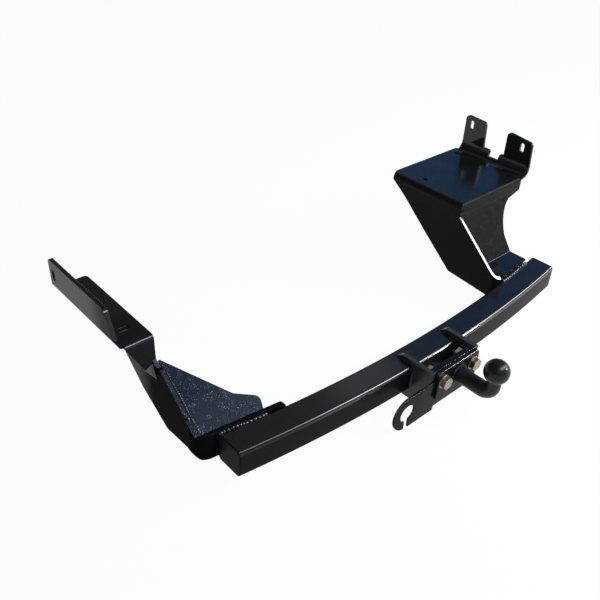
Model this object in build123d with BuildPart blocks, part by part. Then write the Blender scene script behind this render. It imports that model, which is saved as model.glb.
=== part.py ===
"""Fixed-ball tow bar: a bowed square crossbar with a ball flange in the middle and two
fabricated brackets that bolt to the vehicle's chassis rails.

Millimetres.  The origin is the centre of the tow ball, +Z is up, +X is across the vehicle
and +Y runs forward under it.  Every place on the frame is measured from the crossbar:
x from its middle, y back from its front face, z from its top.
"""
import os
from math import asin, atan2, cos, degrees, radians, sin, sqrt, tan

from build123d import *

os.makedirs("parts", exist_ok=True)

# Crossbar: square tube rolled to a gentle bow
beam_size = 60.0
beam_wall = 5.0
beam_corner = 8.0
beam_half_length = 470.0
bow_radius = 3200.0
cap_flange = 2.5
cap_plug = 14.0
cap_fit = 0.3
cap_gap = 0.05

# The ball stands this far ahead of the crossbar's face and above its top
ball_ahead = 136.0
ball_rise = 40.0
ball_diameter = 50.0
neck_diameter = 33.0
neck_under_ball = 28.0
neck_drop = 16.0
neck_bend = 22.0

# Gap left between plates that are welded or bolted face to face
seat_gap = 0.05

# Bolts of the ball flange, M16
bolt_spacing = 90.0
bolt_drop = 13.0
bolt_size = 16.0
bolt_hole = 17.0
bolt_head_width = 24.0
bolt_head_height = 10.0
nut_height = 16.0
washer_diameter = 30.0
washer_thickness = 3.0
bolt_end = 2.0
thread_fit = 0.1

# Cheeks that carry the face plate, one each side of the middle
nut_room = 17.0
cheek_inner = bolt_spacing / 2 + nut_room
cheek_thickness = 10.0
cheek_top = 11.0
cheek_bottom = -82.0
cheek_back = 45.0
cheek_slope = 14.0
face_front = -45.0
face_thickness = 12.0
face_top = 11.0

# Fillet welds
weld_gap = 0.05
cheek_weld = 4.0
edge_weld_top = 4.2

# Plate with the hook for the trailer's safety cable
hook_thickness = 4.0
hook_x = -136.0
hook_z = -49.5
hook_radius = 38.0
hook_hole = 38.0
hook_slot = 12.0
hook_plate_top = 9.0
hook_plate_bottom = -77.0
hook_arm_root = -55.0

# Flange of the ball
flange_thickness = 6.0
flange_left = -bolt_spacing / 2 - 15.0
flange_right = bolt_spacing / 2 + 19.0
flange_top = 12.0
flange_bottom = -60.0
flange_corner = 10.0
neck_weld_size = 5.0

# Sheet and plate of the two brackets
sheet = 6.0
plate = 8.0
bend = 8.0
leg_gap = 0.2
lap_gap = 0.9

# Left bracket, rail angle: strap, rest and tapered tongue folded from one sheet
rail_outer = -567.0
rail_inner = -504.5
rail_top = 152.0
rail_back = 463.0
strap_back = 478.0
rail_sheet = 8.0
strap_top = 206.0
strap_foot_y = 252.0
strap_slope_start = 275.0
strap_shoulder = 14.0
strap_corner = 8.0
tongue_front = 227.0
tongue_bottom = 85.0
tongue_corner = 97.0
tongue_tip = -528.0
rail_hole_x = -536.0
rail_hole_y = 273.0
rail_hole_length = 24.0
rail_hole_width = 11.0
slot_length = 23.0
slot_width = 11.5
strap_slot_y = 462.0
strap_slot_z = 176.0

# Left bracket, side plate with a leg folded along the back of the crossbar
left_leg_end = -333.0
left_leg_top = 5.0
left_leg_corner = 10.0
left_bottom = -54.0
left_bend = 32.0
left_rise_y = 103.0
left_slope_y = 220.0
left_slope_z = 95.5
left_far_top = 418.0
left_edge = ((170.0, 62.3), (204.0, 92.0))
left_fold_edge = 33.0
left_under = ((272.0, 7.0), (197.0, -41.0), (133.0, -37.0), (118.0, -44.0), (106.0, -54.0))
gusset_reach = 131.0
gusset_nose = 24.0
gusset_hip = (86.0, 46.0)
gusset_tip = 3.0
gusset_corner = 14.0

# Right bracket, tray with a front lip and two lugs folded up
tray_outer = 300.0
tray_lug = 558.0
tray_top = 151.0
tray_front = 205.0
tray_back = 423.0
tray_cut = 6.0
tray_bend = 14.0
lug_bend = 26.0
lip_bottom = 119.5
lip_end = tray_lug - 23.0
lip_bend = 9.0
lug_top = 245.0
lug_shoulder = 176.0
lug_corner = 10.0
lug_taper = 5.0
lug_a = (205.0, 283.0)
lug_b = (344.0, 412.0)
lug_a_fall = (13.0, 5.0)
lug_b_fall = (4.0, 0.0)
lug_foot_a = (212.0, 295.0)
lug_foot_b = (324.0, 409.0)
lug_foot_corner = 5.0
gap_floor = 160.0
lug_slots = ((236.0, 213.0), (392.0, 222.0))
tray_holes = (
    (tray_outer + 35.0, 346.0),
    (tray_lug - 34.0, 313.0),
    (tray_lug - 36.0, 399.0),
    (tray_lug - 44.0, 233.0),
)
tray_hole = 13.0

# Right bracket, side plate, web and foot
right_leg_end = 425.0
right_leg_top = 4.3
right_bottom = -42.0
right_bend = 20.0
web_fold_y = 134.0
foot_top = 10.5
foot_end = 438.0
web_waist = (431.0, 46.0)
web_shoulder = (486.0, 112.0)
web_hollow = (448.0, 83.0)
web_bend = 5.0
right_under = ((374.0, 104.0), (305.0, 45.0), (212.0, -31.5), (96.0, -41.0), (86.0, -42.0))
right_top = ((82.0, 9.3), (205.0, 117.0))


def level(z):
    """Horizontal sketch plane, z above the top of the crossbar."""
    return Plane(origin=(0, ball_ahead, z - ball_rise))


def side(x):
    """Upright sketch plane across x: first coordinate back, second up."""
    return Plane(origin=(x, ball_ahead, -ball_rise), x_dir=(0, 1, 0), z_dir=(1, 0, 0))


def front(y):
    """Upright sketch plane that faces the trailer, y back from the crossbar's face."""
    return Plane(origin=(0, ball_ahead + y, -ball_rise), x_dir=(1, 0, 0), z_dir=(0, -1, 0))


def beam_front(x):
    """Where the front face of the crossbar lies at x."""
    return bow_radius - sqrt(bow_radius**2 - x**2)


def beam_back(x):
    """Where the back face of the crossbar lies at x."""
    return bow_radius - sqrt((bow_radius - beam_size) ** 2 - x**2)


bow_angle = degrees(asin((beam_half_length + 3 * cap_plug) / bow_radius))
bow_axis = Axis((0, ball_ahead + bow_radius, 0), (0, 0, 1))
middle_radius = bow_radius - beam_size / 2


def bowed_bar(size, corner, start, end):
    """Solid square bar on the crossbar's curve, cut square to x at both ends."""
    a = radians(-bow_angle)
    plane = Plane(
        origin=(
            middle_radius * sin(a),
            ball_ahead + bow_radius - middle_radius * cos(a),
            -ball_rise - beam_size / 2,
        ),
        x_dir=(0, 0, 1),
        z_dir=(cos(a), sin(a), 0),
    )
    with BuildPart() as bar:
        with BuildSketch(plane):
            RectangleRounded(size, size, corner)
        revolve(axis=bow_axis, revolution_arc=2 * bow_angle)
        with Locations(((start + end) / 2, ball_ahead + beam_size, -ball_rise - beam_size / 2)):
            Box(end - start, 6 * beam_size, 2 * beam_size, mode=Mode.INTERSECT)
    return bar


# Crossbar, rolled from square tube
bore_size = beam_size - 2 * beam_wall
bore_corner = max(beam_corner - beam_wall, 0.1 * beam_wall)
with BuildPart() as crossbar_tube:
    add(bowed_bar(beam_size, beam_corner, -beam_half_length, beam_half_length))
    add(bowed_bar(bore_size, bore_corner, -beam_half_length, beam_half_length), mode=Mode.SUBTRACT)


def end_cap(way):
    """Cap whose flange covers the end of the tube and whose plug sits in its bore."""
    end = way * (beam_half_length + cap_gap)
    turn = asin(beam_half_length / (bow_radius - beam_size / 2))
    middle = (beam_front(end) + beam_back(end)) / 2
    face = Plane(
        origin=(end, ball_ahead + middle, -ball_rise - beam_size / 2), x_dir=(0, 1, 0), z_dir=(way, 0, 0)
    )
    plug_size = bore_size - 2 * cap_fit
    with BuildPart() as cap:
        with BuildSketch(face):
            RectangleRounded(beam_back(end) - beam_front(end), beam_size, beam_corner)
        extrude(amount=cap_flange)
        with BuildSketch(face):
            RectangleRounded(plug_size / cos(turn), plug_size, bore_corner)
        extrude(amount=cap_plug, dir=(-way * cos(turn), -sin(turn), 0))
    return cap


left_end_cap = end_cap(-1)
right_end_cap = end_cap(1)


def cheek(inner_x):
    """C-shaped plate: closed at the front, with a mouth that takes the crossbar."""
    with BuildPart() as piece:
        with BuildSketch(side(inner_x)):
            with BuildLine():
                Polyline(
                    (face_front, cheek_bottom),
                    (face_front, cheek_top),
                    (cheek_back - cheek_slope, cheek_top),
                    (cheek_back, 3 * leg_gap),
                    (cheek_back, cheek_bottom),
                    close=True,
                )
            make_face()
        extrude(amount=cheek_thickness)
        mouth = bowed_bar(beam_size + 2 * leg_gap, beam_corner + leg_gap, -2 * cheek_inner, 2 * cheek_inner)
        add(mouth, mode=Mode.SUBTRACT)
    return piece


left_cheek = cheek(-cheek_inner - cheek_thickness)
right_cheek = cheek(cheek_inner)

bolt_places = ((-bolt_spacing / 2, -bolt_drop), (bolt_spacing / 2, -bolt_drop))

# Face plate, welded between the cheeks
with BuildPart() as face_plate:
    with BuildSketch(front(face_front + face_thickness)):
        with Locations((0, (face_top + cheek_bottom) / 2)):
            Rectangle(2 * (cheek_inner - seat_gap), face_top - cheek_bottom)
        with Locations(*bolt_places):
            Circle(bolt_hole / 2, mode=Mode.SUBTRACT)
    extrude(amount=face_thickness)

# Hook plate: body behind the ball flange and an arm that ends in an open ring
hook_face = face_front - seat_gap
arm_top = hook_z + hook_radius
arm_bottom = hook_z - hook_radius
with BuildPart() as hook_plate:
    with BuildSketch(front(hook_face)):
        with BuildLine():
            Polyline(
                (hook_x, arm_top),
                (flange_left - 4, arm_top),
                (flange_left + 2, hook_plate_top),
                (flange_right, hook_plate_top),
                (flange_right, hook_plate_bottom),
                (hook_arm_root, hook_plate_bottom),
                (hook_arm_root - 2, arm_bottom),
                (hook_x, arm_bottom),
                (hook_x, arm_top),
            )
        make_face()
        with Locations((hook_x, hook_z)):
            Circle(hook_radius)
            Circle(hook_hole / 2, mode=Mode.SUBTRACT)
        with Locations((hook_x, hook_z - hook_radius)):
            Rectangle(hook_slot, 2 * hook_radius - 1, mode=Mode.SUBTRACT)
        with Locations(*bolt_places):
            Circle(bolt_hole / 2, mode=Mode.SUBTRACT)
    extrude(amount=hook_thickness)

# Ball flange, clamped over the hook plate
flange_back = hook_face - hook_thickness - seat_gap
flange_face = flange_back - flange_thickness
with BuildPart() as ball_flange:
    with BuildSketch(front(flange_back)):
        with Locations(((flange_left + flange_right) / 2, (flange_top + flange_bottom) / 2)):
            RectangleRounded(flange_right - flange_left, flange_top - flange_bottom, flange_corner)
        with Locations(*bolt_places):
            Circle(bolt_hole / 2, mode=Mode.SUBTRACT)
    extrude(amount=flange_thickness)

# Neck and ball: a bar that narrows as it bends up under the ball
neck_level = -neck_drop
neck_start = flange_face - seat_gap
ball_radius = ball_diameter / 2
ball_contact = sqrt(ball_radius**2 - (neck_under_ball / 2) ** 2)
with BuildPart() as ball_neck:
    with BuildLine(side(0)) as bend_line:
        RadiusArc((neck_bend - ball_ahead, neck_level), (-ball_ahead, neck_level + neck_bend), neck_bend)
    for place, width in ((0, neck_diameter), (1, neck_under_ball)):
        with BuildSketch(Plane(origin=bend_line.line @ place, z_dir=bend_line.line % place)):
            Circle(width / 2)
    sweep(multisection=True)
    with BuildSketch(front(neck_start)):
        with Locations((0, neck_level)):
            Circle(neck_diameter / 2)
    extrude(amount=ball_ahead + neck_start - neck_bend)
    with BuildSketch(side(0)):
        with BuildLine():
            Polyline(
                (-ball_ahead, ball_rise + ball_radius),
                (-ball_ahead, neck_level + neck_bend),
                (-ball_ahead + neck_under_ball / 2, neck_level + neck_bend),
                (-ball_ahead + neck_under_ball / 2, ball_rise - ball_contact),
            )
            ThreePointArc(
                (-ball_ahead + neck_under_ball / 2, ball_rise - ball_contact),
                (-ball_ahead + ball_radius, ball_rise),
                (-ball_ahead, ball_rise + ball_radius),
            )
        make_face()
    revolve(axis=Axis((0, 0, 0), (0, 0, 1)))

# Weld bead round the root of the neck
bead_inner = neck_diameter / 2 + seat_gap
with BuildPart() as neck_weld:
    with BuildSketch(side(0)):
        with BuildLine():
            Polyline(
                (flange_face - seat_gap, neck_level + bead_inner),
                (flange_face - seat_gap, neck_level + bead_inner + neck_weld_size),
                (flange_face - seat_gap - neck_weld_size * 0.45, neck_level + bead_inner + neck_weld_size * 0.6),
                (flange_face - seat_gap - neck_weld_size, neck_level + bead_inner),
                close=True,
            )
        make_face()
    revolve(axis=Axis((0, 0, neck_level - ball_rise), (0, 1, 0)))


# Fasteners, from the flange forward: flat washer, bolt head
washer_seat = flange_face - seat_gap
head_seat = washer_seat - washer_thickness - seat_gap
with BuildPart() as flange_washers:
    with BuildSketch(front(washer_seat)):
        with Locations(*bolt_places):
            Circle(washer_diameter / 2)
            Circle(bolt_hole / 2, mode=Mode.SUBTRACT)
    extrude(amount=washer_thickness)

# Behind the face plate: self-locking nut and the end of the bolt
face_back = face_front + face_thickness
nut_seat = face_back + seat_gap
shank_end = nut_seat + nut_height + bolt_end
with BuildPart() as flange_bolts:
    with BuildSketch(front(head_seat)):
        with Locations(*bolt_places):
            RegularPolygon(bolt_head_width / 2, 6, major_radius=False, rotation=12)
    extrude(amount=bolt_head_height)
    with BuildSketch(front(head_seat)):
        with Locations(*bolt_places):
            Circle(bolt_size / 2)
    extrude(amount=-(shank_end - head_seat))
    chamfer(flange_bolts.faces().sort_by(Axis.Y)[-2:].edges(), 1.2)

with BuildPart() as flange_nuts:
    with BuildSketch(front(nut_seat)):
        with Locations(*bolt_places):
            RegularPolygon(bolt_head_width / 2, 6, major_radius=False, rotation=20)
            Circle(bolt_size / 2 + thread_fit, mode=Mode.SUBTRACT)
    extrude(amount=-nut_height)

# Rail angle: the strap stands up at the outer edge and the rest lies level
rest_under = rail_top - rail_sheet
tongue_back = tongue_front + rail_sheet
tongue_bend = bend
fold_y = tongue_front + tongue_bend
with BuildPart() as left_rail_angle:
    with BuildSketch(front(fold_y)):
        with BuildLine():
            FilletPolyline(
                (rail_outer, strap_top),
                (rail_outer, rest_under),
                (rail_inner, rest_under),
                radius=bend,
            )
            offset(amount=rail_sheet, side=Side.LEFT)
        make_face()
    extrude(amount=-(strap_back - fold_y))
    # Outline of the strap seen from the side
    with BuildSketch(side(rail_outer)):
        with BuildLine():
            Polyline(
                (fold_y, rest_under),
                (fold_y, rail_top),
                (strap_foot_y, rail_top),
                (strap_slope_start, strap_top),
                (strap_back, strap_top),
                (strap_back, rest_under),
                close=True,
            )
        make_face()
        fillet(vertices().sort_by_distance((strap_slope_start, strap_top))[0:1], strap_shoulder)
        fillet(vertices().sort_by_distance((strap_back, strap_top))[0:1], strap_corner)
        with Locations((strap_slot_y, strap_slot_z)):
            SlotOverall(slot_length, slot_width, rotation=90, mode=Mode.SUBTRACT)
    extrude(amount=rail_inner - rail_outer, mode=Mode.INTERSECT)
    # The rest stops short of the strap at the far end and has an oblong hole
    with BuildSketch(level(rest_under)):
        with Locations((rail_inner - (rail_inner - rail_outer) / 2 + bend, (rail_back + strap_back) / 2 + 10)):
            Rectangle(rail_inner - rail_outer, strap_back - rail_back + 20)
        with Locations((rail_hole_x, rail_hole_y)):
            SlotOverall(rail_hole_length, rail_hole_width)
    extrude(amount=rail_sheet + 1, mode=Mode.SUBTRACT)
    rest_corner = (rail_inner, ball_ahead + rail_back, rail_top - rail_sheet / 2 - ball_rise)
    fillet(left_rail_angle.edges().sort_by_distance(rest_corner)[0:1], strap_corner)
    # Tongue folded down at the near end, tapering to its tip
    with BuildSketch(side(rail_outer + bend)):
        with BuildLine():
            FilletPolyline(
                (fold_y + bend, rail_top),
                (tongue_front, rail_top),
                (tongue_front, tongue_bottom),
                radius=bend,
            )
            offset(amount=rail_sheet, side=Side.LEFT)
        make_face()
    extrude(amount=rail_inner - rail_outer - bend)
    with BuildSketch(front(fold_y)):
        with BuildLine():
            Polyline(
                (rail_outer, rail_top - bend),
                (rail_outer + bend, rail_top - bend),
                (tongue_tip, tongue_bottom),
                (rail_inner, tongue_corner),
                (rail_inner, tongue_bottom - 1),
                (rail_outer, tongue_bottom - 1),
                close=True,
            )
        make_face()
    extrude(amount=bend, mode=Mode.SUBTRACT)

# Left side plate: stands under the rail angle, its lower end curls into a leg that
# lies along the back of the crossbar
left_outer = rail_inner - plate
left_end_y = beam_back(-beam_half_length) + leg_gap
left_leg_slope = (left_end_y - beam_back(left_leg_end) - leg_gap) / (beam_half_length + left_leg_end)
left_corner_y = left_end_y + left_leg_slope * (-beam_half_length - left_outer)
leg_turn = atan2(left_leg_slope, 1)
gusset_rise = atan2(left_slope_z - left_leg_top, left_slope_y - left_rise_y)
gusset_heel_y = left_rise_y + sheet * sin(gusset_rise)
# Over the fold the plate's edge drops under the gusset, past it the edge stands beside it
fold_clear_y = left_corner_y + left_bend + 1
fold_drop = (fold_clear_y - gusset_heel_y - plate * sin(leg_turn)) * tan(gusset_rise)
fold_under_z = left_leg_top + fold_drop - lap_gap


with BuildPart() as left_side_plate:
    with BuildSketch(level(left_bottom)):
        with BuildLine():
            FilletPolyline(
                (left_leg_end, beam_back(left_leg_end) + leg_gap),
                (left_outer, left_corner_y),
                (left_outer, strap_back),
                radius=left_bend,
            )
            offset(amount=plate, side=Side.RIGHT)
        make_face()
    extrude(amount=rest_under - seat_gap - left_bottom)
    with BuildSketch(side(left_outer)):
        with BuildLine():
            Polyline(
                (0, left_bottom),
                (0, left_leg_top),
                (gusset_heel_y, left_leg_top),
                (fold_clear_y, fold_under_z),
                (fold_clear_y, left_fold_edge),
                *left_edge,
                (tongue_back + leg_gap, left_edge[-1][1]),
                (tongue_back + leg_gap, rest_under - bend),
                (fold_y, rest_under),
                (left_far_top, rest_under),
                *left_under,
                (0, left_bottom),
            )
        make_face()
    extrude(amount=left_leg_end - left_outer, mode=Mode.INTERSECT)
    leg_corner = (
        left_leg_end,
        ball_ahead + beam_back(left_leg_end) + leg_gap + plate / 2,
        left_leg_top - ball_rise,
    )
    fillet(left_side_plate.edges().sort_by_distance(leg_corner)[0:1], left_leg_corner)

# Gusset: leans from the top edge of the leg up the near edge of the side plate, and laps
# over the plate's fold
gusset_plane = Plane(
    origin=(
        rail_inner + leg_gap,
        ball_ahead + left_rise_y,
        left_leg_top + seat_gap + sheet * cos(gusset_rise) - ball_rise,
    ),
    x_dir=(cos(leg_turn), -sin(leg_turn), 0),
    z_dir=(-sin(leg_turn) * sin(gusset_rise), -cos(leg_turn) * sin(gusset_rise), cos(gusset_rise)),
)
gusset_lean = tan(leg_turn) * cos(gusset_rise)
gusset_length = sqrt((left_slope_y - left_rise_y) ** 2 + (left_slope_z - left_leg_top) ** 2)
lap_length = (fold_clear_y - gusset_heel_y - leg_gap - plate * sin(leg_turn)) / cos(gusset_rise)
with BuildPart() as left_gusset:
    with BuildSketch(gusset_plane):
        with BuildLine():
            Polyline(
                (-plate, 0),
                (gusset_reach - 4, 0),
                (gusset_reach, gusset_nose),
                gusset_hip,
                (-gusset_length * gusset_lean + gusset_tip, gusset_length),
                (-gusset_length * gusset_lean, gusset_length),
                (-lap_length * gusset_lean, lap_length),
                (-plate - lap_length * gusset_lean, lap_length),
                close=True,
            )
        make_face()
        fillet(vertices().sort_by_distance((gusset_reach, gusset_nose))[0:1], gusset_corner)
        fillet(vertices().sort_by_distance(gusset_hip)[0:1], gusset_corner)
    extrude(amount=-sheet)

# Tray: level top, outer edge folded down to the side plate, inner edge folded up
lug_back = tray_lug + sheet
tray_under = tray_top - sheet
fold_end = tray_top - tray_bend - 2
with BuildPart() as right_tray:
    with BuildSketch(front(tray_front + lip_bend)):
        with BuildLine():
            FilletPolyline(
                (tray_outer, fold_end),
                (tray_outer, tray_top),
                (tray_lug, tray_top),
                (tray_lug, lug_top),
                radius=(tray_bend, lug_bend),
            )
            offset(amount=sheet, side=Side.RIGHT)
        make_face()
    extrude(amount=-(tray_back - tray_front - lip_bend))
    # Near strip of the inner fold, which carries the near lug to the front corner
    with BuildSketch(front(tray_front)):
        with BuildLine():
            FilletPolyline(
                (lip_end, tray_top),
                (tray_lug, tray_top),
                (tray_lug, lug_top),
                radius=(lug_bend - 4,),
            )
            offset(amount=sheet, side=Side.RIGHT)
        make_face()
    extrude(amount=-lip_bend - 1)
    # Outline seen from the side: the sheet below, the two lugs above
    with BuildSketch(side(tray_outer)):
        with Locations(((tray_front + tray_back) / 2, (fold_end + tray_top) / 2)):
            Rectangle(tray_back - tray_front, tray_top - fold_end)
        with Locations(((lug_a[0] + lug_b[1]) / 2, (fold_end + gap_floor) / 2)):
            Rectangle(lug_b[1] - lug_a[0], gap_floor - fold_end)
        for (near, far), (near_fall, far_fall) in ((lug_a, lug_a_fall), (lug_b, lug_b_fall)):
            with BuildLine():
                Polyline(
                    (near, tray_under),
                    (near, tray_top),
                    (near + lug_taper, lug_top - near_fall),
                    (far, lug_top - far_fall),
                    (far, tray_under),
                    close=True,
                )
            make_face()
        fillet([v for v in vertices() if v.Y > lug_shoulder], lug_corner)
        for near, far in (lug_foot_a, lug_foot_b):
            with Locations(((near + far) / 2, (tray_under + lug_shoulder) / 2)):
                RectangleRounded(far - near, lug_shoulder - tray_under, lug_foot_corner)
        with Locations(*lug_slots):
            SlotOverall(slot_length, slot_width, rotation=90, mode=Mode.SUBTRACT)
    extrude(amount=lug_back - tray_outer, mode=Mode.INTERSECT)
    # Front lip, closed against the outer fold at the near corner
    with BuildPart(mode=Mode.PRIVATE) as lip:
        with BuildSketch(side(tray_outer + sheet + leg_gap)):
            with BuildLine():
                FilletPolyline(
                    (tray_front + 2 * lip_bend, tray_top),
                    (tray_front, tray_top),
                    (tray_front, lip_bottom),
                    radius=lip_bend,
                )
                offset(amount=sheet, side=Side.LEFT)
            make_face()
        extrude(amount=lip_end - tray_outer - sheet - leg_gap)
        with BuildSketch(front(tray_front)):
            with BuildLine():
                FilletPolyline(
                    (tray_outer, lip_bottom),
                    (tray_outer, tray_top),
                    (lip_end, tray_top),
                    radius=tray_bend,
                )
                Line((lip_end, tray_top), (lip_end, lip_bottom))
                Line((lip_end, lip_bottom), (tray_outer, lip_bottom))
            make_face()
        extrude(amount=-2 * lip_bend, mode=Mode.INTERSECT)
    add(lip)
    with BuildPart(mode=Mode.PRIVATE) as near_corner:
        with BuildSketch(front(tray_front)):
            with BuildLine():
                FilletPolyline(
                    (tray_outer, fold_end),
                    (tray_outer, tray_top),
                    (tray_outer + 2 * tray_bend, tray_top),
                    radius=tray_bend,
                )
                offset(amount=sheet, side=Side.RIGHT)
            make_face()
        extrude(amount=-2 * lip_bend)
        with BuildSketch(side(tray_outer)):
            with BuildLine():
                FilletPolyline(
                    (tray_front, fold_end),
                    (tray_front, tray_top),
                    (tray_front + 3 * lip_bend, tray_top),
                    radius=lip_bend,
                )
                Line((tray_front + 3 * lip_bend, tray_top), (tray_front + 3 * lip_bend, fold_end))
                Line((tray_front + 3 * lip_bend, fold_end), (tray_front, fold_end))
            make_face()
        extrude(amount=2 * tray_bend, mode=Mode.INTERSECT)
    add(near_corner)
    # Bolt holes, and the far outer corner cut off where the fold ends
    with BuildSketch(level(fold_end - 1)):
        with Locations(*tray_holes):
            Circle(tray_hole / 2)
        with BuildLine():
            Polyline(
                (tray_outer, tray_back - tray_cut),
                (tray_outer + 3 * tray_cut, tray_back),
                (tray_outer, tray_back),
                close=True,
            )
        make_face()
    extrude(amount=tray_top - fold_end + 2, mode=Mode.SUBTRACT)

# Right side plate: tapers down from the tray and curls into a leg behind the crossbar
side_top = fold_end - seat_gap
side_far_top = tray_back - tray_cut
right_corner_y = beam_back(tray_outer) + leg_gap
right_leg_slope = (beam_back(right_leg_end) + leg_gap - right_corner_y) / (right_leg_end - tray_outer)
with BuildPart() as right_side_plate:
    with BuildSketch(level(right_bottom)):
        with BuildLine():
            FilletPolyline(
                (right_leg_end, beam_back(right_leg_end) + leg_gap),
                (tray_outer, right_corner_y),
                (tray_outer, side_far_top),
                radius=right_bend,
            )
            offset(amount=sheet, side=Side.RIGHT)
        make_face()
    extrude(amount=side_top - right_bottom)
    with BuildSketch(side(tray_outer)):
        with BuildLine():
            Polyline(
                (0, right_bottom),
                (0, right_leg_top),
                (right_top[0][0] - sheet, right_leg_top),
                *right_top,
                (tray_front, side_top),
                (side_far_top, side_top),
                *right_under,
                (0, right_bottom),
            )
        make_face()
    extrude(amount=right_leg_end - tray_outer, mode=Mode.INTERSECT)
    # The leg is level on top where the foot rests on it
    with BuildSketch(level(right_leg_top)):
        with Locations((right_leg_end, right_corner_y)):
            Rectangle(2 * (right_leg_end - tray_outer - right_bend), 4 * right_bend)
    extrude(amount=tray_top - right_leg_top, mode=Mode.SUBTRACT)

# Web and foot, folded from one sheet: the web leans from the foot up to the lip
web_left = tray_outer + sheet + leg_gap
web_top_y = tray_front + sheet
web_top_z = lip_bottom - seat_gap
with BuildPart() as right_web:
    with BuildSketch(side(web_left)):
        with BuildLine():
            FilletPolyline(
                (web_top_y - 6, web_top_z),
                (web_fold_y, foot_top),
                (right_corner_y - sheet, foot_top),
                radius=web_bend,
            )
            offset(amount=sheet, side=Side.LEFT)
        make_face()
    extrude(amount=lip_end - web_left)
    with BuildSketch(front(0)):
        with BuildLine():
            Polyline(
                web_waist,
                (foot_end - 4, foot_top),
                (foot_end, foot_top - sheet),
                (foot_end, right_bottom),
                (web_left, right_bottom),
                (web_left, web_top_z),
                (lip_end, web_top_z),
                web_shoulder,
            )
            ThreePointArc(web_shoulder, web_hollow, web_waist)
        make_face()
    extrude(amount=-tray_back, mode=Mode.INTERSECT)
    # Front edge of the foot in line with the leg, corner cut back round the plate's fold
    with BuildSketch(level(right_leg_top)):
        with BuildLine():
            Polyline(
                (tray_outer, right_corner_y),
                (foot_end + 1, right_corner_y + right_leg_slope * (foot_end + 1 - tray_outer)),
                (foot_end + 1, 0),
                (tray_outer, 0),
                close=True,
            )
        make_face()
    extrude(amount=2 * sheet, mode=Mode.SUBTRACT)
    with BuildSketch(level(right_leg_top)):
        with BuildLine():
            Polyline(
                (web_left, 0),
                (web_left + right_bend, 0),
                (web_left + right_bend, right_corner_y + sheet),
                (web_left, right_corner_y + right_bend + sheet),
                close=True,
            )
        make_face()
    extrude(amount=2 * sheet, mode=Mode.SUBTRACT)

def bead(plane, section, length, along=None):
    """Straight weld bead of the given section."""
    with BuildPart() as weld:
        with BuildSketch(plane):
            with BuildLine():
                Polyline(*section, close=True)
            make_face()
        extrude(amount=length, dir=along)
    return weld


# Beads in the valley between the crossbar's rounded back edge and the two brackets' legs
valley = ((-weld_gap, -4.0), (-2, -2.5), (-4, -0.8), (-7, 0.25), (-3.4, 2.9), (-weld_gap, edge_weld_top))
left_bead_start = -377.0
left_bead_length = 94.0
left_bead_y = left_end_y + left_leg_slope * (-beam_half_length - left_bead_start)
left_leg_weld = bead(
    side(left_bead_start),
    [(left_bead_y + y, z) for y, z in valley],
    left_bead_length,
    (-cos(leg_turn), sin(leg_turn), 0),
)
right_bead_start = 322.0
right_bead_length = 108.0
right_turn = atan2(right_leg_slope, 1)
right_bead_y = right_corner_y + right_leg_slope * (right_bead_start - tray_outer)
right_foot_weld = bead(
    side(right_bead_start),
    [(right_bead_y + y, z) for y, z in valley],
    right_bead_length,
    (cos(right_turn), sin(right_turn), 0),
)

# Upright beads in the corners between the crossbar's face and the cheeks
with BuildPart() as cheek_welds:
    for way in (-1, 1):
        for x, out in ((cheek_inner, -way), (cheek_inner + cheek_thickness, way)):
            root = way * x + out * weld_gap
            with BuildSketch(level(-beam_corner)):
                with BuildLine():
                    Polyline(
                        (root, beam_front(root) - weld_gap),
                        (root + out * cheek_weld, beam_front(root + out * cheek_weld) - weld_gap),
                        (root, beam_front(root) - cheek_weld),
                        close=True,
                    )
                make_face()
            extrude(amount=-(beam_size - 2 * beam_corner))

# Upright beads behind the face plate, where it meets the cheeks
with BuildPart() as face_plate_welds:
    for way in (-1, 1):
        root = way * (cheek_inner - weld_gap)
        with BuildSketch(level(face_top - cheek_weld)):
            with BuildLine():
                Polyline(
                    (root, face_back + weld_gap),
                    (root - way * cheek_weld, face_back + weld_gap),
                    (root, face_back + cheek_weld),
                    close=True,
                )
            make_face()
        extrude(amount=-(face_top - cheek_bottom - 2 * cheek_weld))

# Bead laid on the gusset beside the side plate's edge, rounded over
edge_weld_width = 4.0
edge_weld_length = 0.86 * gusset_length
with BuildPart() as left_gusset_weld:
    with BuildSketch(gusset_plane.offset(weld_gap)):
        with BuildLine():
            Polyline(
                (0, 2),
                (edge_weld_width, 2),
                (edge_weld_width - edge_weld_length * gusset_lean, edge_weld_length),
                (-edge_weld_length * gusset_lean, edge_weld_length),
                close=True,
            )
        make_face()
    extrude(amount=0.5 * edge_weld_width)
    crest = left_gusset_weld.faces().sort_by(Axis(gusset_plane.origin, gusset_plane.z_dir))[-1]
    chamfer(crest.edges(), 0.3 * edge_weld_width)

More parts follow.
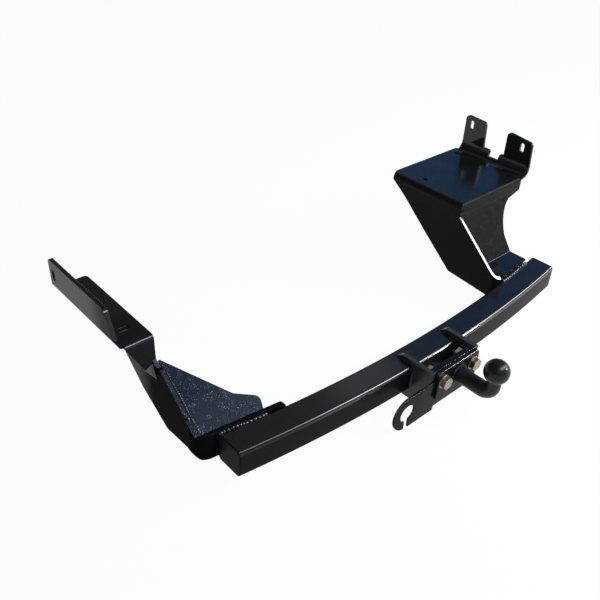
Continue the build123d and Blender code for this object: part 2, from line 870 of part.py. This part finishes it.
# Weld in the corner between the tongue and the top edge of the side plate, and the larger
# fillet under the tongue's tip against the outer face of the plate
tip_weld_drop = 29.0
tip_weld_reach = 12.0
tip_slope = (tongue_corner - tongue_bottom) / (rail_inner - tongue_tip)
tip_weld_x = left_outer - weld_gap
tip_weld_z = tongue_bottom + tip_slope * (tip_weld_x - tongue_tip) - weld_gap
tip_weld_outline = [
    (x, ball_ahead + y, z - ball_rise)
    for x, y, z in (
        (tongue_tip, tongue_front, tongue_bottom - weld_gap),
        (tip_weld_x, tongue_front, tip_weld_z),
        (tip_weld_x, tongue_front - tip_weld_reach, tip_weld_z - tip_weld_drop),
    )
]
with BuildPart() as tongue_weld:
    with BuildSketch(side(left_outer + weld_gap)):
        with BuildLine():
            Polyline(
                (tongue_front - weld_gap, left_edge[-1][1] + weld_gap),
                (tongue_front - weld_gap, tongue_corner + 3),
                (tongue_front - 4, tongue_corner),
                (tongue_front - 16, left_edge[-1][1] + weld_gap),
                close=True,
            )
        make_face()
    extrude(amount=plate - 2 * weld_gap)
    extrude(Face(Wire.make_polygon(tip_weld_outline)), amount=rail_sheet, dir=(0, 1, 0))

# Bead behind the web, down the inner face of the side plate
web_slope = (web_top_y - web_fold_y) / (web_top_z - foot_top)
web_weld = bead(
    level(46),
    (
        (tray_outer + sheet + weld_gap, web_fold_y + web_slope * 36 + sheet + 6),
        (tray_outer + sheet + cheek_weld, web_fold_y + web_slope * 36 + sheet + 6),
        (tray_outer + sheet + weld_gap, web_fold_y + web_slope * 36 + sheet + 6 + cheek_weld),
    ),
    60,
    (0, web_slope, 1),
)

for name, piece in (
    ("crossbar_tube", crossbar_tube),
    ("left_end_cap", left_end_cap),
    ("right_end_cap", right_end_cap),
    ("left_cheek", left_cheek),
    ("right_cheek", right_cheek),
    ("face_plate", face_plate),
    ("hook_plate", hook_plate),
    ("ball_flange", ball_flange),
    ("ball_neck", ball_neck),
    ("neck_weld", neck_weld),
    ("flange_washers", flange_washers),
    ("flange_bolts", flange_bolts),
    ("flange_nuts", flange_nuts),
    ("left_rail_angle", left_rail_angle),
    ("left_side_plate", left_side_plate),
    ("left_gusset", left_gusset),
    ("right_tray", right_tray),
    ("right_side_plate", right_side_plate),
    ("right_web", right_web),
    ("left_leg_weld", left_leg_weld),
    ("left_gusset_weld", left_gusset_weld),
    ("tongue_weld", tongue_weld),
    ("right_foot_weld", right_foot_weld),
    ("web_weld", web_weld),
    ("cheek_welds", cheek_welds),
    ("face_plate_welds", face_plate_welds),
):
    piece.part.label = name
    export_step(piece.part, f"parts/{name}.step")
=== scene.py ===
"""Fixed-ball tow bar in black powder coat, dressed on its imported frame.

Metres.  The origin is the centre of the tow ball, +Z is up, +X is across the vehicle and
+Y runs forward under it.
"""
import math

import bmesh
import bpy
from mathutils import Matrix, Vector


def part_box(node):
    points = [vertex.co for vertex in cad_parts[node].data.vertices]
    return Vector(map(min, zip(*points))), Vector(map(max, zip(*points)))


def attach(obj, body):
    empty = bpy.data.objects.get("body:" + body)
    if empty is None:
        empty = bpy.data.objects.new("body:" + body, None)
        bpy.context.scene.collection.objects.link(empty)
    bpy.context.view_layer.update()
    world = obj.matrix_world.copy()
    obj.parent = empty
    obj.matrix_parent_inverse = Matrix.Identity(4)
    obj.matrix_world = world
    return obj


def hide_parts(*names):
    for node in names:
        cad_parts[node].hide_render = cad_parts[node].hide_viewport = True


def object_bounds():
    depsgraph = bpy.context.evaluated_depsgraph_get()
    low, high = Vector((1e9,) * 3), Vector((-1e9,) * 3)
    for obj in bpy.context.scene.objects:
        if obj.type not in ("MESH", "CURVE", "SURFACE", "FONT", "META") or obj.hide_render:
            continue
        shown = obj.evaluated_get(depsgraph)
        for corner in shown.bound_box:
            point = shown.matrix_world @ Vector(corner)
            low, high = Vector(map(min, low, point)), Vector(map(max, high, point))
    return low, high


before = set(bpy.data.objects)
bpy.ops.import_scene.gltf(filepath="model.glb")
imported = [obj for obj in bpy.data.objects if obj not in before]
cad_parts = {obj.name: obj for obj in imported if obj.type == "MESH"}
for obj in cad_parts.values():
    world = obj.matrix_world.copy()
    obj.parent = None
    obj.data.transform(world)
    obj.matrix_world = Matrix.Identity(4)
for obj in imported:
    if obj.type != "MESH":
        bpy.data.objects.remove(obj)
cad_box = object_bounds()
MM = 0.001
# The crossbar's front face, middle and top, from which the steel is set out
BAR = Vector((0, 136, -40)) * MM


# Crossbar: square steel tube rolled to a gentle bow, blasted and powder coated in gloss
# black.  The coat flows a little as it cures, so it has a fine orange peel and its edges
# are soft.
class Level:
    """A shader socket that takes part in Python sums."""

    def __init__(self, finish, socket):
        self.finish = finish
        self.socket = socket

    def combine(self, operation, other):
        maths = self.finish.add("ShaderNodeMath", {"operation": operation}, {0: self, 1: other})
        return maths["Value"]

    def __add__(self, other):
        return self.combine("ADD", other)

    def __sub__(self, other):
        return self.combine("SUBTRACT", other)

    def __rsub__(self, other):
        return self * -1 + other

    def __mul__(self, other):
        return self.combine("MULTIPLY", other)

    __radd__ = __add__

    def above(self, start, end):
        """0 below start, 1 above end, eased between them."""
        return self.finish.add(
            "ShaderNodeMapRange",
            {"interpolation_type": "SMOOTHSTEP"},
            {"Value": self, "From Min": start, "From Max": end},
        )["Result"]


class Finish:
    """The shader nodes of one finish, or of the world."""

    def __init__(self, name, library=None, place="Object"):
        library = bpy.data.materials if library is None else library
        self.material = library.new(name)
        self.material.use_nodes = True
        self.nodes = self.material.node_tree.nodes
        self.links = self.material.node_tree.links
        self.nodes.clear()
        self.place = self.add("ShaderNodeTexCoord")[place]

    def feed(self, socket, value):
        """Links a level to the socket, or sets the socket to a plain value."""
        if isinstance(value, Level):
            self.links.new(value.socket, socket)
        else:
            socket.default_value = value

    def add(self, kind, settings=None, sockets=None):
        """A new node's outputs by name, once its settings are made and its inputs are fed."""
        node = self.nodes.new(kind)
        for name, value in (settings or {}).items():
            setattr(node, name, value)
        for name, value in (sockets or {}).items():
            self.feed(node.inputs[name], value)
        return {output.name: Level(self, output) for output in node.outputs}

    def noise(self, size, detail=2.0, roughness=0.5):
        """Noise between 0 and 1 with lumps of about this size in metres."""
        return self.add(
            "ShaderNodeTexNoise",
            None,
            {"Vector": self.place, "Scale": 1 / size, "Detail": detail, "Roughness": roughness},
        )["Fac"]

    def mix(self, mask, low, high):
        """The colour low where the mask is 0 and high where it is 1."""
        node = self.nodes.new("ShaderNodeMix")
        node.data_type = "RGBA"
        self.feed(node.inputs["Factor"], mask)
        self.feed(node.inputs[6], low)
        self.feed(node.inputs[7], high)
        return Level(self, node.outputs[2])

    def bump(self, height, distance, under=None):
        """The surface's normal with relief up to this distance, on top of another normal."""
        sockets = {"Height": height, "Distance": distance}
        if under:
            sockets["Normal"] = under
        return self.add("ShaderNodeBump", None, sockets)["Normal"]

    def surface(self, **sockets):
        """The finished material, from the sockets of one Principled shader."""
        names = {name.replace("_", " "): value for name, value in sockets.items()}
        shader = self.add("ShaderNodeBsdfPrincipled", None, names)["BSDF"]
        self.add("ShaderNodeOutputMaterial", None, {"Surface": shader})
        return self.material


# Painted glints: size and pale colour of the specks put into the colour of gritty coats
speck_size = 0.0021
painted_glint_colour = (0.42, 0.48, 0.60, 1)


def powder_coat(
    name,
    shade=0.0045,
    gloss=0.30,
    peel=0.00010,
    lacquer=0.5,
    blur=0.06,
    depth=1.5,
    body=0.30,
    grit=0.0,
    tint=(1, 1, 1),
    richer=None,
):
    """Black coat: shade is its colour and tint the colour's cast, gloss its roughness, peel the
    height of its waves, lacquer the share of clear resin that rose to the top, blur that
    resin's roughness and depth its index, body the shine below it, grit its grains and their
    painted glints.
    richer is (axis, start, end, lacquer): where along the part the resin grows thicker."""
    coat = Finish(name)
    waves = coat.noise(0.0035, 2.0)
    drift = coat.noise(0.07, 3.0)
    mottle = coat.noise(0.0018, 4.0, 0.65)
    normal = coat.bump(waves, peel)
    rough = gloss + (drift - 0.5) * 0.14 + (mottle - 0.5) * 0.24
    dark = [shade * part for part in tint]
    pale = [2.0 * part for part in dark]
    blotches = drift * 0.6 + mottle.above(0.42, 0.70) * 0.4
    colour = coat.mix(blotches, (*dark, 1), (*pale, 1))
    if grit:
        grains = coat.noise(0.0024, 3.0, 0.7)
        cells = {"Vector": coat.place, "Scale": 1 / speck_size}
        specks = coat.add("ShaderNodeTexVoronoi", None, cells)
        patches = coat.noise(0.012, 2.0).above(0.42, 0.60)
        # Painted glints: pale specks mixed into the colour where grains would catch the light;
        # the grains' bumps and roughness are real relief
        painted_glint_mask = (1 - specks["Distance"]).above(0.72, 0.86) * patches
        normal = coat.bump(grains, 0.0005 * grit, normal)
        colour = coat.mix(painted_glint_mask * min(1.0, 0.55 * grit), colour, painted_glint_colour)
        rough = rough + grains.above(0.3, 0.7) * 0.12
    clear = lacquer + (drift - 0.5) * 0.3 * lacquer + (mottle - 0.5) * 0.8 * lacquer
    if richer:
        axis, start, end, most = richer
        along = coat.add("ShaderNodeSeparateXYZ", None, {"Vector": coat.place})[axis]
        clear = clear + along.above(start, end) * (most - lacquer)
    return coat.surface(
        Base_Color=colour,
        Roughness=rough,
        Normal=normal,
        Specular_IOR_Level=body,
        Coat_Weight=clear,
        Coat_Roughness=blur,
        Coat_IOR=depth,
    )


flat_turn = math.radians(0.6)
sharp_turn = math.radians(28)


def rounded(node, edge, finish, slot, butted=None, up=()):
    """Copy of a CAD node with its sharp edges rounded off, in place of the node.  Edges for
    which butted holds stay sharp, because they close against another plate.  More powder
    settles on what faces up, so up may give richer finishes, each as (finish, low, high)
    for the faces whose normal's height lies between low and high."""
    mesh = bmesh.new()
    mesh.from_mesh(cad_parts[node].data)
    bmesh.ops.remove_doubles(mesh, verts=mesh.verts, dist=2e-6)
    bmesh.ops.dissolve_limit(
        mesh, angle_limit=flat_turn, verts=mesh.verts, edges=mesh.edges, delimit=set()
    )
    sharp = [
        e
        for e in mesh.edges
        if e.is_manifold
        and e.calc_face_angle() > sharp_turn
        and not (butted and butted((e.verts[0].co + e.verts[1].co) / 2))
    ]
    bmesh.ops.bevel(
        mesh,
        geom=sharp,
        offset=edge,
        offset_type="OFFSET",
        affect="EDGES",
        segments=3,
        profile=0.5,
        clamp_overlap=True,
        material=-1,
    )
    mesh.normal_update()
    for place, (richer, low, high) in enumerate(up, start=1):
        for face in mesh.faces:
            if low < face.normal.z <= high:
                face.material_index = place
    settle(mesh, node, finish, slot, *[richer for richer, low, high in up])


def settle(mesh, node, finish, slot, *others):
    """Makes the mesh a piece in its finishes that rides with the frame in place of its node."""
    data = bpy.data.meshes.new(node)
    mesh.to_mesh(data)
    mesh.free()
    data.shade_smooth()
    piece = bpy.data.objects.new(node + "_coat", data)
    bpy.context.scene.collection.objects.link(piece)
    for coat in (finish, *others):
        data.materials.append(coat)
    flat = piece.modifiers.new("flat faces", "WEIGHTED_NORMAL")
    flat.keep_sharp = True
    flat.weight = 100
    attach(piece, "root")
    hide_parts(node)


gloss_black = powder_coat("gloss black powder coat", gloss=0.24, peel=0.00004, lacquer=0.5)
edge_coat = powder_coat(
    "powder coat on upper edges",
    gloss=0.20,
    peel=0.00002,
    lacquer=0.9,
    blur=0.10,
    depth=2.1,
    body=0.8,
)
corner_coat = powder_coat(
    "powder coat on the crossbar's corner",
    gloss=0.24,
    peel=0.00002,
    lacquer=0.06,
    blur=0.10,
    depth=2.0,
    body=0.2,
    richer=("X", -0.40, -0.18, 0.6),
)
bar_side = powder_coat(
    "powder coat on the crossbar's sides",
    gloss=0.34,
    lacquer=0.01,
    body=0.03,
    richer=("X", -0.35, 0.05, 0.07),
)
tube_size = 60 * MM
wall = 5 * MM
outer_corner = 8 * MM
inner_corner = 3 * MM
half_length = 470 * MM
bow_radius = 3200 * MM
half_stations = 60
corner_steps = 6
crease_turn = math.radians(60)


def tube_ring(mesh, x, size, corner):
    """Section of the bowed tube where it passes x, a square with round corners."""
    reach = size / 2 - corner
    row = []
    for quarter, (back, rise) in enumerate(((1, 1), (-1, 1), (-1, -1), (1, -1))):
        for i in range(corner_steps + 1):
            turn = math.pi / 2 * (quarter + i / corner_steps)
            depth = tube_size / 2 + back * reach + corner * math.cos(turn)
            height = -tube_size / 2 + rise * reach + corner * math.sin(turn)
            y = bow_radius - math.sqrt((bow_radius - depth) ** 2 - x**2)
            row.append(mesh.verts.new((x, BAR.y + y, BAR.z + height)))
    return row


def skin(mesh, low, high):
    """Closes the band between two rings of as many points."""
    for i in range(len(low)):
        j = (i + 1) % len(low)
        mesh.faces.new((low[i], low[j], high[j], high[i]))


mesh = bmesh.new()
stations = [half_length * (i / half_stations - 1) for i in range(2 * half_stations + 1)]
outside = [tube_ring(mesh, x, tube_size, outer_corner) for x in stations]
inside = [tube_ring(mesh, x, tube_size - 2 * wall, inner_corner) for x in stations]
for rows in (outside, inside):
    for low, high in zip(rows, rows[1:]):
        skin(mesh, low, high)
for end in (0, -1):
    skin(mesh, outside[end], inside[end])
bmesh.ops.recalc_face_normals(mesh, faces=mesh.faces)
for face in mesh.faces:
    faces_up = face.normal.z > 0.99
    on_front_corner = face.normal.z > 0.1 and face.normal.y < 0
    if faces_up:
        face.material_index = 1
    elif on_front_corner:
        face.material_index = 2
for edge in mesh.edges:
    edge.smooth = edge.calc_face_angle() < crease_turn
settle(mesh, "crossbar_tube", bar_side, "powder_coat", gloss_black, corner_coat)

# End caps: moulded black plastic, pushed into the ends of the tube.
plastic = Finish("black moulded plastic")
pebble = plastic.noise(0.0009)
soot = (0.004, 0.004, 0.004, 1)
worn = (0.007, 0.007, 0.007, 1)
cap_plastic = plastic.surface(
    Base_Color=plastic.mix(plastic.noise(0.03), soot, worn),
    Roughness=0.55 + (pebble - 0.5) * 0.2,
    Specular_IOR_Level=0.05,
    Normal=plastic.bump(pebble, 0.00006),
)
for end in ("left_end_cap", "right_end_cap"):
    rounded(end, 0.0010, cap_plastic, "cap_plastic")

# Cheeks: flame-cut steel plates that grip the crossbar, powder coated with it.
cheek_coat = powder_coat(
    "cheek powder coat", shade=0.0200, gloss=0.36, peel=0.00012, lacquer=0.1, body=0.25
)
for cheek in ("left_cheek", "right_cheek"):
    rounded(cheek, 0.0014, cheek_coat, "powder_coat")

# Face plate between the cheeks, the hook plate on it and the ball's flange: punched and
# sheared plates in the same coat, a little softer on their edges.
plate_coat = powder_coat(
    "small plate powder coat",
    gloss=0.34,
    lacquer=0.01,
    body=0.03,
    richer=("X", -0.16, -0.02, 0.19),
)
for plate, edge in (("face_plate", 0.0012), ("hook_plate", 0.0012), ("ball_flange", 0.0034)):
    rounded(plate, edge, plate_coat, "powder_coat", up=((edge_coat, 0.3, 0.9),))

# Ball and neck: one steel forging that narrows as it bends up, turned at the ball.  The
# ball is glossier than its neck.
ball_radius = 25 * MM
neck_radius = 16.5 * MM
collar_radius = 14 * MM
bend_radius = 22 * MM
neck_level = BAR.z - 16 * MM
bend_top = neck_level + bend_radius
flange_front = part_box("ball_flange")[0].y
round_steps = 64
bend_steps = 24
ball_steps = 40
neck_coat = powder_coat(
    "neck powder coat", shade=0.0060, gloss=0.42, peel=0.00008, lacquer=0.0
)
ball_coat = powder_coat(
    "ball powder coat",
    shade=0.0060,
    gloss=0.26,
    peel=0.00002,
    lacquer=0.14,
    blur=0.15,
    body=0.15,
)


def lofted(mesh, rings):
    """Skins a row of rings, each (centre, second axis, radius).  Their first axis is X."""
    rows = []
    for centre, second, radius in rings:
        row = []
        for i in range(round_steps):
            turn = 2 * math.pi * i / round_steps
            across = Vector((1, 0, 0)) * math.cos(turn) + second * math.sin(turn)
            row.append(mesh.verts.new(centre + across * radius))
        rows.append(row)
    for low, high in zip(rows, rows[1:]):
        skin(mesh, low, high)
    mesh.faces.new(rows[0])
    mesh.faces.new(rows[-1])
    bmesh.ops.recalc_face_normals(mesh, faces=mesh.faces)


# Straight root, bend and collar of the neck
rings = []
for root in (flange_front - 0.00005, flange_front - 0.004, bend_radius + 0.012):
    rings.append((Vector((0, root, neck_level)), Vector((0, 0, 1)), neck_radius))
for i in range(bend_steps + 1):
    turn = math.pi / 2 * i / bend_steps
    out = bend_radius * (1 - math.sin(turn))
    rise = bend_top - bend_radius * math.cos(turn)
    radius = neck_radius + (collar_radius - neck_radius) * i / bend_steps
    rings.append((Vector((0, out, rise)), Vector((0, math.sin(turn), math.cos(turn))), radius))
collar_turn = math.asin(collar_radius / ball_radius)
ball_foot = -ball_radius * math.cos(collar_turn)
rings.append((Vector((0, 0, ball_foot - 1.2 * MM)), Vector((0, 1, 0)), collar_radius))
# Ball, from its underside to just short of its pole
pole_turn = math.pi - 0.02
for i in range(ball_steps + 1):
    turn = collar_turn + (pole_turn - collar_turn) * i / ball_steps
    rise = -ball_radius * math.cos(turn)
    rings.append((Vector((0, 0, rise)), Vector((0, 1, 0)), ball_radius * math.sin(turn)))
mesh = bmesh.new()
lofted(mesh, rings)
for face in mesh.faces:
    face.material_index = 1 if face.calc_center_median().z > ball_foot else 0
settle(mesh, "ball_neck", neck_coat, "powder_coat", ball_coat)

# Weld beads: laid by hand as a row of overlapping pools, coated over, so that each pool
# still catches the light.
# Its colour is a little paler and bluer than the plain coat, and its grit adds pale specks: both
# are painted glints of the pools.
weld_coat = powder_coat(
    "powder coat over weld",
    shade=0.008,
    gloss=0.26,
    lacquer=0.6,
    body=0.5,
    grit=0.4,
    tint=(0.9, 1.0, 1.3),
)
# The weld facet at the tongue is coloured pale bluish grey as a painted highlight.
painted_highlight_facet_coat = powder_coat(
    "weld facet with painted highlight", shade=0.035, lacquer=0.8, body=0.8, tint=(0.9, 1.0, 1.25)
)


def pool(mesh, centre, along, size, count):
    """One solidified pool of weld, a squashed drop with its length along the run.  size is its
    half length, width and height, and no two in a run are quite alike."""
    wobble = 1 + 0.16 * math.sin(count * 12.9898)
    turn = Vector((1, 0, 0)).rotation_difference(along).to_matrix().to_4x4()
    scale = Matrix.Diagonal((size[0] * wobble, size[1] * wobble, size[2] / wobble, 1))
    bmesh.ops.create_uvsphere(
        mesh,
        u_segments=12,
        v_segments=8,
        radius=1,
        matrix=Matrix.Translation(centre) @ turn @ scale,
    )


def straight_run(node, start, end, size, pitch):
    """A row of pools about a pitch apart in place of a weld, none quite in line or in step."""
    mesh = bmesh.new()
    along = end - start
    count = round(along.length / pitch)
    for i in range(count + 1):
        drift = Vector((0, 0, 0.0003 * math.sin(i * 2.1)))
        place = (i + 0.25 * math.sin(i * 5.3)) / count
        centre = start.lerp(end, min(1, max(0, place))) + drift
        pool(mesh, centre, along.normalized(), size, i + 1)
    settle(mesh, node, weld_coat, "powder_coat")


def bar_point(x, y, z):
    """A place in millimetres from the crossbar's middle, front face and top."""
    return BAR + Vector((x, y, z)) * MM


# Along the tube's back edge, at the leg and at the foot
straight_run(
    "left_leg_weld",
    bar_point(-379, 81.0, 0.4),
    bar_point(-468, 92.6, 0.4),
    size=(0.0044, 0.0038, 0.0036),
    pitch=0.0072,
)
straight_run(
    "right_foot_weld",
    bar_point(324, 72.8, 1.2),
    bar_point(429, 85.0, 1.2),
    size=(0.0050, 0.0046, 0.0044),
    pitch=0.0085,
)

# Up the gusset, beside the side plate's edge
low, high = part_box("left_gusset_weld")
straight_run(
    "left_gusset_weld",
    Vector((high.x - 0.0023, low.y + 0.0030, low.z + 0.0020)),
    Vector((low.x + 0.0023, high.y - 0.0030, high.z - 0.0026)),
    size=(0.0026, 0.0021, 0.0017),
    pitch=0.0036,
)

# Round the root of the neck
ring_pools = 40
mesh = bmesh.new()
for i in range(ring_pools):
    turn = 2 * math.pi * i / ring_pools
    out = Vector((math.cos(turn), 0, math.sin(turn)))
    centre = Vector((0, flange_front - 0.0021, neck_level)) + out * (neck_radius + 0.0019)
    pool(mesh, centre, Vector((-out.z, 0, out.x)), (0.0021, 0.0020, 0.0020), i)
settle(mesh, "neck_weld", neck_coat, "powder_coat")

rounded("tongue_weld", 0.0010, painted_highlight_facet_coat, "powder_coat")
rounded("web_weld", 0.0010, edge_coat, "powder_coat")
for bead in ("cheek_welds", "face_plate_welds"):
    rounded(bead, 0.0008, cheek_coat, "powder_coat")

# Bolts, washers and nuts: M16 and zinc plated.  The heads are passivated yellow and the
# washers duller; the nuts behind the face plate are whitened as a painted glint.
def zinc(name, low, high):
    """Zinc plating that varies between two colours."""
    plating = Finish(name)
    return plating.surface(
        Base_Color=plating.mix(plating.noise(0.006, 4.0), (*low, 1), (*high, 1)),
        Metallic=1.0,
        Roughness=0.34 + (plating.noise(0.002, 3.0) - 0.5) * 0.3,
        Normal=plating.bump(plating.noise(0.0012, 2.0), 0.00003),
    )


yellow_zinc = zinc("yellow passivated zinc", (0.24, 0.21, 0.14), (0.45, 0.41, 0.31))
rounded("flange_bolts", 0.0007, yellow_zinc, "zinc_yellow")
# The nuts' near-white plating is a painted glint.
painted_glint_zinc = zinc("zinc whitened as painted glint", (0.74, 0.71, 0.60), (0.92, 0.90, 0.80))
rounded("flange_nuts", 0.0007, painted_glint_zinc, "zinc_yellow")
dull_zinc = zinc("dulled yellow zinc", (0.20, 0.175, 0.12), (0.36, 0.33, 0.25))
rounded("flange_washers", 0.0007, dull_zinc, "zinc_yellow")

# Rail angle of the left bracket: strap, rest and tongue folded from one sheet, welded to a
# thick side plate that curls behind the crossbar.
rail_coat = powder_coat(
    "rail angle powder coat",
    shade=0.009,
    gloss=0.36,
    lacquer=0.0,
    body=0.03,
    richer=("Y", 0.41, 0.47, 0.33),
)
rounded("left_rail_angle", 0.0010, rail_coat, "powder_coat", up=((gloss_black, 0.3, 0.9),))

# Gusset and side plate of the left bracket, and web of the right: on the gusset the coat
# went on thick and cured gritty, with painted glints on its grains and a painted blue sky
# reflection; on the others it is duller, the web with faint painted glints.
# The blue cast of its colour is painted reflection of the sky above.
gusset_coat = powder_coat(
    "gritty powder coat, painted sky tint and glints",
    shade=0.011,
    gloss=0.38,
    peel=0.00012,
    lacquer=0.02,
    body=0.05,
    grit=1.2,
    tint=(0.7, 1.1, 2.0),
)
rounded("left_gusset", 0.0010, gusset_coat, "powder_coat")
left_plate_coat = powder_coat(
    "left plate powder coat",
    shade=0.0035,
    gloss=0.38,
    peel=0.00012,
    lacquer=0.0,
    body=0.003,
    richer=("Y", 0.365, 0.43, 0.34),
)
# Its upward faces take the gusset's coat, with its painted sky reflection and painted glints.
rounded("left_side_plate", 0.0012, left_plate_coat, "powder_coat", up=((gusset_coat, 0.3, 0.95),))
# Its grit adds faint painted glints to its colour.
web_coat = powder_coat(
    "web powder coat", gloss=0.46, peel=0.00014, lacquer=0.0, body=0.025, grit=0.2
)
rounded("right_web", 0.0010, web_coat, "powder_coat", up=((gloss_black, 0.8, 1),))

# Right bracket: tray with its lip and lugs folded from one sheet, on a tapering side plate.
# The fold and the plate meet edge to edge.
tray_coat = powder_coat("tray powder coat", gloss=0.24, peel=0.00006, lacquer=0.38, blur=0.13)
side_top = bar_point(0, 0, 135).z
lip_coat = powder_coat(
    "lip and lug powder coat",
    gloss=0.36,
    lacquer=0.02,
    body=0.05,
    richer=("Z", side_top + 0.020, side_top + 0.034, 0.7),
)
side_coat = powder_coat(
    "right side plate powder coat",
    gloss=0.36,
    lacquer=0.0,
    body=0.05,
    richer=("Z", side_top - 0.07, side_top, 0.03),
)
fold_end = bar_point(307, 0, 0).x
rounded(
    "right_tray",
    0.0009,
    lip_coat,
    "powder_coat",
    up=((tray_coat, 0.8, 1),),
    butted=lambda place: abs(place.z - side_top) < 0.0004 and place.x < fold_end,
)
rounded(
    "right_side_plate",
    0.0010,
    side_coat,
    "powder_coat",
    butted=lambda place: place.z > side_top - 0.0004,
    up=((edge_coat, 0.3, 0.9),),
)

# Floor: seamless pale sheet.  The camera and what mirrors it see it nearly white, and it
# keeps a faint shadow.
mesh = bmesh.new()
under_all = Matrix.Translation((0, 0, cad_box[0].z))
bmesh.ops.create_grid(mesh, x_segments=1, y_segments=1, size=30, matrix=under_all)
data = bpy.data.meshes.new("floor")
mesh.to_mesh(data)
mesh.free()
floor = bpy.data.objects.new("floor", data)
bpy.context.scene.collection.objects.link(floor)
paper = Finish("white paper")
matt = paper.add("ShaderNodeBsdfDiffuse", None, {"Color": (0.82, 0.82, 0.82, 1)})["BSDF"]
glow = paper.add("ShaderNodeEmission", None, {"Color": (1, 1, 1, 1), "Strength": 1.0})["Emission"]
path = paper.add("ShaderNodeLightPath")
seen = (path["Is Camera Ray"] + path["Is Glossy Ray"] + path["Is Transmission Ray"]) * 0.95
sheet = paper.add("ShaderNodeMixShader", None, {"Fac": seen, 1: matt, 2: glow})["Shader"]
paper.add("ShaderNodeOutputMaterial", None, {"Surface": sheet})
data.materials.append(paper.material)

# Studio: a dome that is pale at the horizon, deep blue overhead to the right and lighter
# blue over the viewer, with a paler gap between the two; a small lamp and a long strip
# stand in front to the right.
sky = Finish("studio", bpy.data.worlds, "Generated")
bpy.context.scene.world = sky.material
way = sky.add("ShaderNodeSeparateXYZ", None, {"Vector": sky.place})
grey = sky.mix(way["Z"].above(0.0, 0.38), (0.70, 0.70, 0.70, 1), (0.15, 0.15, 0.155, 1))
deep = way["X"].above(0.58, 0.66) * way["Z"].above(0.12, 0.34) * way["Y"].above(-0.1, 0.15)
cool = sky.mix(deep, grey, (0.026, 0.125, 0.33, 1))
gap = way["X"].above(0.52, 0.56) * (1 - way["X"].above(0.59, 0.63)) * way["Y"].above(0.2, 0.35)
paler = sky.mix(gap * way["Z"].above(0.5, 0.58), cool, (0.62, 0.63, 0.66, 1))
over = (way["Y"] * -1).above(0.15, 0.5) * way["Z"].above(0.3, 0.6)
dome = sky.mix(over, paler, (0.34, 0.50, 0.80, 1))
light = sky.add("ShaderNodeBackground", None, {"Color": dome, "Strength": 1.0})["Background"]
sky.add("ShaderNodeOutputWorld", None, {"Surface": light})


def soft_lamp(name, place, aim, size, power, colour=(1, 1, 1)):
    lamp = bpy.data.lights.new(name, "AREA")
    lamp.shape = "RECTANGLE"
    lamp.size = size[0]
    lamp.size_y = size[1]
    lamp.energy = power
    lamp.color = colour
    piece = bpy.data.objects.new(name, lamp)
    bpy.context.scene.collection.objects.link(piece)
    piece.location = place
    piece.rotation_euler = (Vector(aim) - Vector(place)).to_track_quat("-Z", "Y").to_euler()


soft_lamp(
    "key",
    place=(1.60, -1.25, 0.72),
    aim=(0, 0.1, -0.03),
    size=(0.36, 0.36),
    power=26,
    colour=(1.0, 0.98, 0.95),
)
soft_lamp(
    "strip", place=(1.70, -0.72, 1.12), aim=(1.70, 0.16, -0.04), size=(3.7, 0.48), power=56
)

# Camera at the photograph's place.
camera_data = bpy.data.cameras.new("camera")
camera_data.sensor_width = 36
camera_data.lens = 43.45
camera_data.clip_end = 100
camera = bpy.data.objects.new("camera", camera_data)
bpy.context.scene.collection.objects.link(camera)
right = Vector((0.7510, -0.6593, 0.0356)).normalized()
ahead = Vector((0.5552, 0.6014, -0.5746)).normalized()
up = right.cross(ahead)
axes = Matrix((right, up, -ahead)).transposed()
viewpoint = Matrix.Translation((-0.9775, -0.5096, 0.8723))
camera.matrix_world = viewpoint @ axes.to_4x4()
bpy.context.scene.camera = camera
bpy.context.scene.view_settings.view_transform = "Standard"
